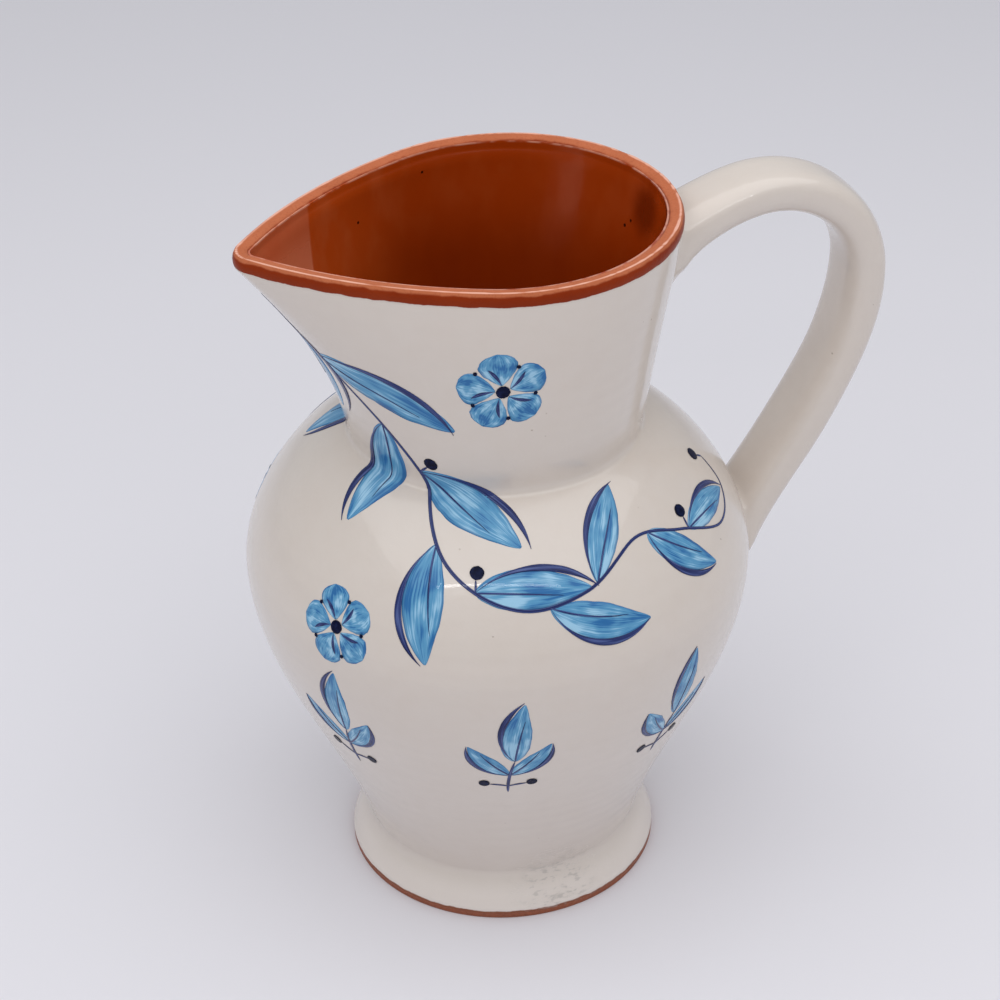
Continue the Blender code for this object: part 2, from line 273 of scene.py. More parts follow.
colour = white.mix(GLAZE_WHITE, GLAZE_CREAM, clouds)
colour = white.mix(colour, GLAZE_MILKY, 0.5 * thin)
colour = white.mix(colour, IRON_SPECK, 0.55 * specks)
colour = white.mix(colour, GLAZE_THICK, 0.8 * white.ramp(height, 0.015, 0.007))
colour = white.mix(colour, CLAY_LAID_BARE, worn_off)
colour = white.mix(colour, SCUFF_GREY, 0.5 * scuffed)
finger_rings = white.node("ShaderNodeTexWave", {"bands_direction": "Z"},
                          {"Vector": white.place, "Scale": 55.0, "Distortion": 1.5, "Detail": 2.0})
normal = white.bump(finger_rings, 0.00002)
normal = white.bump(white.grain(0.004, 2.0), 0.0001, normal)
normal = white.bump(1.0 - specks, 0.0001, normal)
white.feed(white.shader.inputs["Coat Weight"], GLAZE_COAT - GLAZE_COAT * worn_off)
white.wear(colour, 0.2 + 0.08 * thin + 0.3 * scuffed, normal)

brow = (FOOT_RADIUS - FOOT_LIP_ROUNDING, EDGE_HEIGHT + FOOT_LIP)
rise = WAIST_Z - brow[1]
inwards = brow[0] - WAIST_RADIUS
hollow = FOOT_HOLLOW * rise
foot_outer = [(FOOT_RADIUS, EDGE_HEIGHT), (FOOT_RADIUS, EDGE_HEIGHT + 0.6 * FOOT_LIP)]
foot_outer += stretch(
    brow,
    (brow[0] - FOOT_SKIRT_IN * inwards, brow[1] + FOOT_SKIRT_UP * rise),
    (WAIST_RADIUS - hollow * math.tan(WAIST_FLARE), WAIST_Z - hollow),
    (WAIST_RADIUS, WAIST_Z), 40)
foot_inner = [(WAIST_RADIUS - WALL - SEAT_GAP, WAIST_Z), (PLUG_RADIUS + SEAT_GAP, FLOOR)]
foot_inner.append((PLUG_RADIUS + SEAT_GAP, EDGE_HEIGHT))
foot = turned("flared_foot", foot_outer + foot_inner, True, white)
reshape(foot, hand_thrown)
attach(foot, "root")
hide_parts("foot")


# The belly is the main body, thrown in one pull from the waist to the crease under the neck. It
# swells to its widest point halfway up and rounds over into the shoulder.
WIDEST_Z = 0.1165
BELLY_RADIUS = 0.0823
THROAT_Z = 0.1656
THROAT_RADIUS = 0.0458
WAIST_PULL = 0.38
BELLY_PULL_DOWN = 0.31
BELLY_PULL_UP = 0.40
SHOULDER_SLOPE = 0.30
SHOULDER_PULL = 0.45

# The crease takes in the bottom of the neck, so the neck's own curve is needed here too.
MOUTH_Z = 0.2331
MOUTH_RADIUS = 0.0522
NECK_SWELL = 0.0038
NECK_SWELL_HEIGHT = 0.0065
NECK_STRAIGHT = 0.65
CREASE_RADIUS = 0.0465
CREASE_Z = 0.1656
CREASE_FROM_RADIUS = 0.0482
CREASE_TOP_Z = 0.1712
CREASE_TIGHTNESS = 0.75
CREASE_STEPS = 24
THROAT_ROUNDING = 0.012

belly_rise = WIDEST_Z - WAIST_Z
shoulder_rise = THROAT_Z - WIDEST_Z
neck_length = MOUTH_Z - THROAT_Z
throat_in = THROAT_RADIUS - WALL
pull = WAIST_PULL * belly_rise
reach = SHOULDER_PULL * (BELLY_RADIUS - THROAT_RADIUS)
lower_side = stretch(
    (WAIST_RADIUS, WAIST_Z),
    (WAIST_RADIUS + pull * math.sin(WAIST_FLARE), WAIST_Z + pull * math.cos(WAIST_FLARE)),
    (BELLY_RADIUS, WIDEST_Z - BELLY_PULL_DOWN * belly_rise),
    (BELLY_RADIUS, WIDEST_Z), 90)
shoulder = stretch(
    (BELLY_RADIUS, WIDEST_Z),
    (BELLY_RADIUS, WIDEST_Z + BELLY_PULL_UP * shoulder_rise),
    (THROAT_RADIUS + reach, THROAT_Z - reach * math.tan(SHOULDER_SLOPE)),
    (THROAT_RADIUS, THROAT_Z), 100)[1:]
neck_side = stretch(
    (THROAT_RADIUS, THROAT_Z),
    (THROAT_RADIUS + NECK_SWELL, THROAT_Z + NECK_SWELL_HEIGHT),
    (THROAT_RADIUS + NECK_SWELL, MOUTH_Z - NECK_STRAIGHT * neck_length),
    (MOUTH_RADIUS + 0.5 * WALL, MOUTH_Z), 90)
shoulder_kept = [point for point in shoulder if point[0] > CREASE_FROM_RADIUS]
neck_kept = [point for point in neck_side if point[1] > CREASE_TOP_Z]
below = Vector(shoulder_kept[-1])
above = Vector(neck_kept[0])
corner = Vector((CREASE_RADIUS, CREASE_Z))
crease = stretch(
    below,
    below.lerp(corner, CREASE_TIGHTNESS),
    above.lerp(corner, CREASE_TIGHTNESS),
    above, CREASE_STEPS)
joint = CREASE_STEPS // 2
belly_outer = lower_side + shoulder_kept + crease[1:joint + 1]
neck_outer = crease[joint:-1] + neck_kept
belly_inner = [(r - WALL, z) for r, z in belly_outer[::6] if z < THROAT_Z - THROAT_ROUNDING]
belly_inner.append((throat_in, belly_outer[-1][1]))
belly = turned("round_belly", belly_outer + belly_inner[::-1], True, white)
reshape(belly, hand_thrown)
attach(belly, "root")
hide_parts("belly")


# The neck rises from the crease and flares to the mouth. While the clay was soft, its front was
# stroked outwards into the pouring lip, so its rings go from round to pear shaped.
MOUTH_SETBACK = 0.0043
LIP_REACH = 0.0778
LIP_RADIUS = 0.006
FLANK_RADIUS = 0.153
LIP_GROWTH = 2.15


def radius_at(outline, height):
    """The radius of an outline that runs upwards, at a height."""
    for (r0, z0), (r1, z1) in zip(outline, outline[1:]):
        if z0 <= height <= z1:
            return r0 + (r1 - r0) * (height - z0) / (z1 - z0)
    return outline[-1][0] if height > outline[-1][1] else outline[0][0]


def mouth_point(way):
    """The middle of the rim where it faces a direction: a round back, long flanks and a small lip."""
    back = Vector((MOUTH_SETBACK, 0.0, 0.0))
    lip = Vector((LIP_RADIUS - LIP_REACH, 0.0, 0.0))
    to_back = FLANK_RADIUS - MOUTH_RADIUS
    to_lip = FLANK_RADIUS - LIP_RADIUS
    apart = back.x - lip.x
    flank_x = lip.x + (to_lip ** 2 - to_back ** 2 + apart ** 2) / (2.0 * apart)
    flank_y = math.sqrt(to_lip ** 2 - (flank_x - lip.x) ** 2)
    side = 1.0 if way.y >= 0.0 else -1.0
    flank = Vector((flank_x, -side * flank_y, 0.0))
    if way.x >= (back - flank).normalized().x:
        return back + MOUTH_RADIUS * way
    if way.x <= (lip - flank).normalized().x:
        return lip + LIP_RADIUS * way
    return flank + FLANK_RADIUS * way


def drawn_at(height):
    """How far the pull of the lip has got at a height, from 0 at the throat to 1 at the mouth."""
    return min((height - THROAT_Z) / neck_length, 1.0) ** LIP_GROWTH


def lip_pulled(spot):
    """A point of the round thrown neck or rim, after the front has been drawn out into the lip."""
    out = Vector((spot.x, spot.y, 0.0))
    if out.length < 0.001 or spot.z <= THROAT_Z:
        return spot
    way = out.normalized()
    shift = mouth_point(way) + (0.5 * WALL - radius_at(neck_side, spot.z)) * way
    return spot + drawn_at(spot.z) * shift


def finished(spot):
    """The thrown point, pulled and then left as hands made it."""
    return lip_pulled(hand_thrown(spot))


neck_inner = [(throat_in, neck_outer[0][1])]
neck_inner += [(r - WALL, z) for r, z in neck_side[8::4] if z > neck_outer[0][1]]
neck = turned("neck_with_lip", neck_outer + neck_inner[::-1], True, white)
reshape(neck, finished)
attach(neck, "root")
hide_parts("neck")


# The rim is a bead rolled over the wall's edge. Its flat top was wiped clean and shows bare clay. The
# clear glaze ends in a fine ridge round the outside, and the white glaze laps up under the bead.
RIM_HEIGHT = 0.0048
RIM_RED = (0.44, 0.118, 0.046, 1.0)
RIM_ORANGE = (0.57, 0.172, 0.078, 1.0)
RIM_PITTED = (0.38, 0.095, 0.038, 1.0)
SEALED_DARK = (0.20, 0.017, 0.001, 1.0)
SEALED_LIGHT = (0.29, 0.036, 0.004, 1.0)
# The pale colour of the ridge's crest is a painted highlight.
CREST_PAINTED_HIGHLIGHT = (0.88, 0.48, 0.36, 1.0)
RIDGE = 0.00018
RIDGE_OUT = 0.0008
RIDGE_UP = 0.0030

rim_section = [(-0.0024, 0.0), (-0.0020, 0.0010), (-0.0020, 0.0032), (-0.0018, 0.0039), (-0.0013, 0.0043),
               (-0.0004, 0.0045), (0.0008, 0.0046), (0.0016, 0.0048), (0.0020, 0.0047), (0.0023, 0.0042),
               (0.0027, 0.0034), (0.0029, 0.0022), (0.0028, 0.0010), (0.0025, 0.0)]
rim_outline = [(MOUTH_RADIUS + out, MOUTH_Z + up) for out, up in reversed(rim_section)]


def ridged(spot):
    """The rim as hands made it, with a ridge that wavers in height."""
    way = Vector((spot.x, spot.y, 0.0)).normalized()
    waver = noise.noise(Vector((22.0 * way.x, 22.0 * way.y, 3.0))) + 0.6 * noise.noise(70.0 * way)
    out = Vector((spot.x, spot.y)).length - MOUTH_RADIUS
    share = min(max((out - RIDGE_OUT) / RIDGE_OUT, 0.0), 1.0)
    if spot.z < MOUTH_Z + RIDGE_UP:
        share = 0.0
    return finished(spot) + Vector((0.0, 0.0, RIDGE * waver * share))


rolled = Finish("rim_terracotta")
rolled.shader.inputs["Specular IOR Level"].default_value = 0.1
height = rolled.coordinate("Z")
patches = rolled.grain(0.012, 3.0)
sand = rolled.grain(0.0007, 3.0)
ragged = 0.0014 * rolled.grain(0.005, 4.0)
wiped = rolled.ramp(height + ragged, MOUTH_Z + 0.0042, MOUTH_Z + 0.0049)
lapped = rolled.ramp(height + ragged, MOUTH_Z + 0.0013, MOUTH_Z + 0.0010)
# The crest mask paints a pale highlight along the top of the ridge, and also makes that crest glossier.
crest_gloss_and_highlight = rolled.ramp(height, MOUTH_Z + 0.00464, MOUTH_Z + RIM_HEIGHT)
colour = rolled.mix(RIM_RED, RIM_ORANGE, patches)
colour = rolled.mix(colour, RIM_PITTED, 0.5 * rolled.ramp(sand, 0.52, 0.7))
colour = rolled.mix(rolled.mix(SEALED_DARK, SEALED_LIGHT, patches), colour, wiped)
colour = rolled.mix(colour, CREST_PAINTED_HIGHLIGHT, 0.85 * crest_gloss_and_highlight)
colour = rolled.mix(colour, GLAZE_WHITE, lapped)
rolled.feed(rolled.shader.inputs["Coat Weight"], 0.5 * crest_gloss_and_highlight)
rolled.wear(colour, 0.34 + 0.16 * wiped, rolled.bump(sand, 0.0001, rolled.bump(ragged, 0.12)))
rim = turned("rolled_rim", rim_outline, True, rolled)
reshape(rim, ridged)
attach(rim, "root")
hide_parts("rim")


# The lining is the clear glaze that was poured in, swilled round and poured out. Over the red clay
# it looks deep orange brown, and it is very glossy.
GLAZE = 0.0006
CORNER_ROUNDING = 0.0045
UNDER_THROAT = 0.006
ROUNDED_BELOW_THROAT = 0.014
# The spot is the middle of a dark patch of painted shade on the inner wall, on the handle's side.
PAINTED_SHADE_SPOT = (0.0515, 0.0040, 0.2270)
AMBER_DARK = (0.19, 0.017, 0.0006, 1.0)
AMBER_LIGHT = (0.27, 0.031, 0.0012, 1.0)
AMBER_POOLED = (0.17, 0.014, 0.0005, 1.0)
# The next two colours are painted light: the lining is lighter towards the lip and towards the top.
AMBER_PAINTED_LIGHT_TO_LIP = (0.52, 0.085, 0.012, 1.0)
AMBER_PAINTED_LIGHT_HIGH = (0.42, 0.050, 0.003, 1.0)
# The next two colours make the lip corner paler: its glaze is thinner and satin, with a painted reflection
# on it.
THIN_GLAZE_AND_REFLECTION_RED = (0.72, 0.23, 0.11, 1.0)
THIN_GLAZE_AND_REFLECTION_PALE = (0.90, 0.40, 0.25, 1.0)
# A pale cloudy sheen under the rim is a painted reflection.
PAINTED_SHEEN_RED = (0.50, 0.12, 0.04, 1.0)
# The dark brown of that patch of painted shade.
PAINTED_SHADE_BROWN = (0.10, 0.008, 0.0004, 1.0)
# A pale broken line along the lining's top edge is a painted highlight.
EDGE_PAINTED_HIGHLIGHT = (0.80, 0.42, 0.30, 1.0)
PINHOLE_BLACK = (0.03, 0.004, 0.001, 1.0)

clear = Finish("clear_glaze_on_terracotta", 0.7, 0.05)
across = clear.coordinate("X")
height = clear.coordinate("Z")
streaks = clear.grain(0.012, 3.0, (1.0, 1.0, 0.25))
depth = clear.grain(0.03, 2.0)
smoky = clear.grain(0.010, 3.0, (1.0, 1.0, 0.6))
# Painted light: the lining gets lighter towards the lip.
to_lip = clear.ramp(across + 0.02 * depth, 0.004, -0.040)
# The lip corner inside is paler: thinner satin glaze, with a painted reflection.
thin = clear.ramp(across + 0.001 * smoky, -0.0503, -0.0512)
thin = thin * (0.55 + 0.45 * clear.ramp(height, 0.231, 0.223))
# Painted reflection: a pale cloudy sheen under the rim, strongest towards the lip.
painted_sheen = clear.ramp(height, 0.195, 0.225) * clear.ramp(smoky, 0.42, 0.70)
painted_sheen = (0.10 + 0.22 * clear.ramp(across, -0.010, -0.035)) * painted_sheen
# Painted shade: a dark patch on the inner wall, on the handle's side.
thick = clear.ramp(clear.distance(PAINTED_SHADE_SPOT) + 0.006 * smoky, 0.015, 0.006)
# Painted highlight: a pale broken line along the top edge.
edge = clear.ramp(height, MOUTH_Z + 0.0033, MOUTH_Z + 0.0037) * clear.ramp(clear.grain(0.006), 0.35, 0.55)
bubbles = clear.node("ShaderNodeTexVoronoi", {"feature": "F1"}, {"Vector": clear.place, "Scale": 75.0})
colour = clear.mix(AMBER_DARK, AMBER_LIGHT, streaks)
colour = clear.mix(colour, AMBER_POOLED, 0.5 * clear.ramp(depth, 0.5, 0.8))
colour = clear.mix(colour, AMBER_PAINTED_LIGHT_TO_LIP, 0.85 * to_lip)
colour = clear.mix(colour, clear.mix(THIN_GLAZE_AND_REFLECTION_RED, THIN_GLAZE_AND_REFLECTION_PALE, smoky), 0.9 * thin)
# Painted light: the lining gets lighter towards the top.
colour = clear.mix(colour, AMBER_PAINTED_LIGHT_HIGH, 0.6 * clear.ramp(height, 0.196, 0.226))
colour = clear.mix(colour, PAINTED_SHEEN_RED, painted_sheen)
colour = clear.mix(colour, PAINTED_SHADE_BROWN, 0.75 * thick)
colour = clear.mix(colour, EDGE_PAINTED_HIGHLIGHT, 0.55 * edge)
colour = clear.mix(colour, PINHOLE_BLACK, clear.ramp(bubbles, 0.055, 0.035))
clear.wear(colour, 0.10 + 0.1 * streaks + 0.15 * thin, clear.bump(streaks, 0.0002))

waist_in = WAIST_RADIUS - WALL
lining_outer = [(0.0, FLOOR)]
lining_outer += stretch(
    (PLUG_RADIUS, FLOOR),
    (PLUG_RADIUS + CORNER_ROUNDING, FLOOR),
    (waist_in, WAIST_Z - CORNER_ROUNDING),
    (waist_in, WAIST_Z), 12)
rounded_from = THROAT_Z - ROUNDED_BELOW_THROAT
lining_outer += [(r - WALL, z) for r, z in (lower_side + shoulder)[3::3] if z < rounded_from]
lining_outer += stretch(
    lining_outer[-1],
    (lining_outer[-1][0] - THROAT_ROUNDING, THROAT_Z - UNDER_THROAT),
    (throat_in, THROAT_Z - UNDER_THROAT),
    (throat_in, THROAT_Z), 16)[1:]
lining_outer += [(r - WALL, z) for r, z in neck_side[2::2]]
lining_outer += [(MOUTH_RADIUS - out, MOUTH_Z + up) for out, up in (
    (0.0022, 0.0009), (0.00202, 0.0020), (0.00202, 0.0031), (0.0019, 0.0038))]
lining_inner = []
for i, (r, z) in enumerate(lining_outer):
    before = lining_outer[max(i - 1, 0)]
    after = lining_outer[min(i + 1, len(lining_outer) - 1)]
    along = Vector((after[0] - before[0], after[1] - before[1])).normalized()
    lining_inner.append((max(r - along.y * GLAZE, 0.0), z + along.x * GLAZE))
lining = turned("glazed_inside", lining_outer + lining_inner[::-1], False, clear)
reshape(lining, finished)
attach(lining, "root")
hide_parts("lining")


# The handle is a strap of clay, pulled by hand, bent over and pressed on under the rim and at the
# belly. The clay at both roots is smoothed out into the wall with a wet finger.
STRAP_WIDTH = 0.023
STRAP_WIDTH_LOW = 0.0245
STRAP_TOP = 0.0135
STRAP_LEG = 0.014
STRAP_SQUARE = 2.9
STRAP_EVEN_UNTIL = 0.25
STRAP_HEAVY_FROM = 0.55
GRIP_DEPTH = 0.0418
CROWN_OUT = 0.0337
CROWN_BELOW_RIM = 0.0065
ELBOW_BELOW_RIM = 0.0387
ROOT_BELOW_RIM = 0.0171
LEG_ROOT_BELOW_WIDEST = 0.0084
ROOT_ANGLE = 0.33
LEG_ANGLE = 1.03
PULL_OVER = 0.34
PULL_ACROSS = 0.55
PULL_DOWN = 0.55
PULL_LEG = 0.35
PULL_HOME = 0.41
ROOT_SINK = 0.006
ROOT_TAIL = 0.008
ROOT_FLARE = 0.0045
ROOT_DROOP = 0.32
LEG_TAIL = 0.022
LEG_FLARE = 0.006
LEG_END = 0.008
LEG_THINNING = 0.018
FLARE_LENGTH = 0.007
SMOOTHED_OUT = 0.003
SMOOTHED_UNDER_ROOT = 0.007
FREE_AFTER_ROOT = 0.042
FREE_BEFORE_LEG = 0.060
BEND_STEPS = 80
STRAP_SIDES = 40
STRAP_RINGS = 110
ROOT_RINGS = 8
LEG_RINGS = 14

rim_z = MOUTH_Z + RIM_HEIGHT
outside = belly_outer + neck_outer[1:]


def off_body(spot):
    """How far a point is outside the body on the handle's side, and the way straight off it."""
    radius = radius_at(outside, spot.z)
    steep = (radius_at(outside, spot.z + 0.001) - radius_at(outside, spot.z - 0.001)) / 0.002
    middle = 0.0
    if spot.z > THROAT_Z:
        drawn = drawn_at(spot.z)
        radius += drawn * (MOUTH_RADIUS + 0.5 * WALL - radius)
        middle = drawn * MOUTH_SETBACK
    out = Vector((spot.x - middle, spot.y, 0.0))
    way = Vector((out.x, out.y, -steep * out.length)).normalized()
    return out.length - radius, way


root_z = rim_z - ROOT_BELOW_RIM
leg_z = WIDEST_Z - LEG_ROOT_BELOW_WIDEST
level = Vector((1.0, 0.0, 0.0))
fall = Vector((0.0, 0.0, -1.0))
behind = Vector((0.06, 0.0, root_z))
on_neck = behind - off_body(behind)[0] * level
to_out = Vector((math.cos(ROOT_ANGLE), 0.0, math.sin(ROOT_ANGLE)))
to_home = Vector((-math.cos(LEG_ANGLE), 0.0, -math.sin(LEG_ANGLE)))
root = on_neck - ROOT_SINK * to_out
crown = Vector((on_neck.x + CROWN_OUT, 0.0, rim_z - CROWN_BELOW_RIM))
elbow = Vector((BELLY_RADIUS + GRIP_DEPTH, 0.0, rim_z - ELBOW_BELOW_RIM))
leg = Vector((radius_at(belly_outer, leg_z), 0.0, leg_z)) + ROOT_SINK * to_home
over = PULL_OVER * (crown.x - root.x)
across = PULL_ACROSS * (elbow.x - crown.x)
down = PULL_DOWN * (crown.z - elbow.z)
drop = PULL_LEG * (elbow.z - leg.z)
press = PULL_HOME * (elbow.z - leg.z)
bends = [
    (root, root + over * to_out, crown - over * level, crown),
    (crown, crown + across * level, elbow - down * fall, elbow),
    (elbow, elbow + drop * fall, leg - press * to_home, leg),
]
route = [root - ROOT_TAIL * to_out]
for bend in bends:
    route += list(interpolate_bezier(*bend, BEND_STEPS))[:-1]
route += [leg, leg + 0.5 * LEG_TAIL * to_home, leg + LEG_TAIL * to_home]
travelled = [0.0]
for before, after in zip(route, route[1:]):
    travelled.append(travelled[-1] + (after - before).length)
total = travelled[-1] - LEG_TAIL + ROOT_TAIL
headings = []
for i in range(len(route)):
    headings.append((route[min(i + 1, len(route) - 1)] - route[max(i - 1, 0)]).normalized())


def along_route(gone):
    """The strap's middle after such a way along it, and the direction it runs in."""
    for i in range(len(route) - 1):
        if gone <= travelled[i + 1] or i == len(route) - 2:
            step = (gone - travelled[i]) / (travelled[i + 1] - travelled[i])
            return route[i].lerp(route[i + 1], step), headings[i].lerp(headings[i + 1], step).normalized()


def squared(value):
    """A sine or cosine, pushed outwards so that an oval gets fuller corners."""
    return math.copysign(abs(value) ** (2.0 / STRAP_SQUARE), value)


def strap_point(gone, turn):
    """A point on the strap's skin, and the way it faces, before the roots are smoothed out."""
    middle, along = along_route(gone)
    outward = Vector((-along.z, 0.0, along.x))
    share = (gone / total - STRAP_EVEN_UNTIL) / (STRAP_HEAVY_FROM - STRAP_EVEN_UNTIL)
    share = min(max(share, 0.0), 1.0)
    heavier = share * share * (3.0 - 2.0 * share)
    inside = ROOT_SINK + ROOT_TAIL
    at_root = ROOT_FLARE * math.exp(-max(gone - inside, 0.0) / FLARE_LENGTH)
    at_leg = LEG_FLARE * math.exp(-max(total - gone - inside, 0.0) / FLARE_LENGTH)
    thinned = min(max((gone - travelled[-1] + LEG_THINNING) / LEG_THINNING, 0.0), 1.0)
    thick = STRAP_TOP + (STRAP_LEG - STRAP_TOP) * heavier + at_root
    thick += (LEG_END - thick) * thinned
    wide = STRAP_WIDTH + (STRAP_WIDTH_LOW - STRAP_WIDTH) * heavier + at_root + at_leg
    sideways = Vector((0.0, 0.5 * wide * squared(math.cos(turn)), 0.0))
    upwards = 0.5 * thick * squared(math.sin(turn)) * outward
    heart = middle - ROOT_DROOP * at_root * outward
    skin = sideways + upwards
    worn = 0.00025 * noise.noise(Vector((40.0 * gone, 1.5 * math.cos(turn), 1.5 * math.sin(turn))))
    return heart + skin + worn * skin.normalized(), skin.normalized()


def where_off(turn, height, inner, outer):
    """How far along the strap one line of its skin stands that high off the body."""
    for _ in range(24):
        middle = 0.5 * (inner + outer)
        if off_body(strap_point(middle, turn)[0])[0] > height:
            outer = middle
        else:
            inner = middle
    return 0.5 * (inner + outer)


# Each line of the strap's skin has its corners close together at both roots, where the clay curves out
# into the wall, at these shares of the smoothed height.
shares = [-0.2, 0.0, 0.03, 0.08, 0.15, 0.24, 0.35, 0.48, 0.64, 0.82, 1.0, 1.25]
root_tip = 0.002
free_from = FREE_AFTER_ROOT
free_until = travelled[-1] - FREE_BEFORE_LEG
leg_tip = travelled[-1] - 0.0005
lines = []
for k in range(STRAP_SIDES):
    turn = math.tau * (k + 0.5) / STRAP_SIDES
    root_smoothing = SMOOTHED_OUT + SMOOTHED_UNDER_ROOT * max(-math.sin(turn), 0.0)
    line = [where_off(turn, root_smoothing * share, root_tip, free_from) for share in shares]
    line += [line[-1] + (free_from - line[-1]) * i / ROOT_RINGS for i in range(1, ROOT_RINGS)]
    line += [free_from + (free_until - free_from) * i / STRAP_RINGS for i in range(STRAP_RINGS)]
    landing = [where_off(turn, SMOOTHED_OUT * share, leg_tip, free_until) for share in shares]
    line += [free_until + (landing[-1] - free_until) * i / LEG_RINGS for i in range(LEG_RINGS)]
    line += reversed(landing)
    lines.append([])
    for gone in line:
        spot, facing = strap_point(gone, turn)
        height = off_body(spot)[0] if gone < free_from or gone > free_until else 1.0
        smoothing = root_smoothing if gone < free_from else SMOOTHED_OUT
        if height < smoothing:
            share = 1.0 - max(height, 0.0) / smoothing
            spread = smoothing * (1.0 - math.sqrt(max(1.0 - share * share, 0.0)))
            spot = spot + spread * facing
            for _ in range(3):
                now, way = off_body(spot)
                spot = spot + (height - now) * way
        lines[-1].append(spot)

# The skin's faces run from each line to the next, all the way round, with one face at either end. The
# cylinder only brings the object, and is cleared for them.
rings = len(lines[0])
faces = []
for k in range(STRAP_SIDES):
    nearby = (k + 1) % STRAP_SIDES
    for i in range(rings - 1):
        faces.append((k * rings + i, nearby * rings + i, nearby * rings + i + 1, k * rings + i + 1))
faces.append([k * rings for k in range(STRAP_SIDES)])
faces.append([k * rings + rings - 1 for k in range(STRAP_SIDES)])
bpy.ops.object.select_all(action="DESELECT")
bpy.ops.mesh.primitive_cylinder_add(vertices=STRAP_SIDES, radius=0.5 * STRAP_TOP, depth=STRAP_WIDTH)
handle = bpy.context.object
handle.name = "pulled_handle"
handle.data.name = "pulled_handle"
handle.data.clear_geometry()
handle.data.from_pydata([spot for line in lines for spot in line], [], faces)
bpy.ops.object.mode_set(mode="EDIT")
bpy.ops.mesh.select_all(action="SELECT")
bpy.ops.mesh.normals_make_consistent(inside=False)
bpy.ops.object.mode_set(mode="OBJECT")
bpy.ops.object.shade_smooth_by_angle(angle=math.radians(50.0))
handle.data.materials.append(white.material)
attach(handle, "root")
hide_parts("handle")


# The painting is done with soft brushes, in cobalt and sky blue on the dry white glaze, and it melts
# in with it. A stem with leaves, flowers and berries winds from the lip over the neck and round the
# shoulder on each side, with three sprigs below. Every stroke is a thin skin that lies on the glaze.
SKIN_STEP = 0.0005
STROKE_SKIN = 0.00012
# Strokes that come later lie on the earlier ones, each kind a little higher off the glaze.
WASH_LIFT = 0.00006
STEM_LIFT = 0.00013
LINE_LIFT = 0.00015
VEIN_LIFT = 0.00017
DOT_LIFT = 0.00021
BERRY = 0.0044
STEM_WIDTH = 0.0011
# Each vine starts under the lip. Its places are in degrees from the handle and in millimetres up.
VINE = ((173.0, 224.0), (161.0, 205.0), (146.0, 186.0), (133.0, 167.0), (121.0, 151.0), (103.0, 141.0),
        (85.0, 143.0), (68.0, 151.0), (52.0, 147.0), (37.0, 139.0), (24.0, 143.0), (21.0, 152.0))
VINE_LEAFY = 0.215
# Each blue is thin and pale where the brush ran dry, and dark where the colour pooled.
SKY_BODY = (0.105, 0.32, 0.54, 1.0)
SKY_POOLED = (0.018, 0.13, 0.36, 1.0)
SKY_THIN = (0.36, 0.61, 0.80, 1.0)
COBALT_BODY = (0.022, 0.036, 0.15, 1.0)
COBALT_POOLED = (0.008, 0.012, 0.065, 1.0)
COBALT_THIN = (0.09, 0.13, 0.32, 1.0)
NAVY_BODY = (0.002, 0.005, 0.030, 1.0)
NAVY_POOLED = (0.001, 0.002, 0.014, 1.0)
NAVY_THIN = (0.007, 0.013, 0.055, 1.0)

skin_line = [Vector(outside[0])]
climbed = 0.0
for (r0, z0), (r1, z1) in zip(outside, outside[1:]):
    reach = math.hypot(r1 - r0, z1 - z0)
    while len(skin_line) * SKIN_STEP <= climbed + reach:
        share = (len(skin_line) * SKIN_STEP - climbed) / reach
        skin_line.append(Vector((r0, z0)).lerp(Vector((r1, z1)), share))
    climbed += reach


def on_skin(turn, climb):
    """A point of the outside, at an angle round the axis and so far up along the section."""
    i = min(max(int(climb / SKIN_STEP), 0), len(skin_line) - 2)
    radius, height = skin_line[i].lerp(skin_line[i + 1], climb / SKIN_STEP - i)
    return finished(Vector((radius * math.cos(turn), radius * math.sin(turn), height)))


def at(azimuth, height):
    """The skin place (turn, climb) at so many degrees round the axis and so many millimetres up."""
    climb = next(i for i, spot in enumerate(skin_line) if spot.y >= 0.001 * height)
    return math.radians(azimuth), climb * SKIN_STEP


def steps_at(turn, climb):
    """How the skin runs at a place: round the jug per radian of turn, and up it per metre of climb."""
    here = on_skin(turn, climb)
    round_ = (on_skin(turn + 0.01, climb) - here) / 0.01
    up = (on_skin(turn, climb + SKIN_STEP) - here) / SKIN_STEP
    return round_, up


def walk(place, heading, length, bend, steps=40):
    """A bent way over the skin from a place. Headings are in degrees, 0 is level and 90 is up."""
    turn, climb = place
    line = [(turn, climb)]
    for i in range(steps):
        round_, up = steps_at(turn, climb)
        angle = math.radians(heading + bend * (i + 0.5) / steps)
        turn += length / steps * math.cos(angle) / round_.length
        climb += length / steps * math.sin(angle) / up.length
        line.append((turn, climb))
    return line


neck_climb = at(0.0, 1000.0 * THROAT_Z)[1]


def round_by(turn, climb, way):
    """The turn after going so far round the jug, in small steps on the neck, which isn't round."""
    steps = 6 if climb > neck_climb else 1
    for _ in range(steps):
        turn += way / steps / steps_at(turn, climb)[0].length
    return turn


strokes = {"sky": [], "cobalt": [], "navy": []}
brush = random.Random(7)


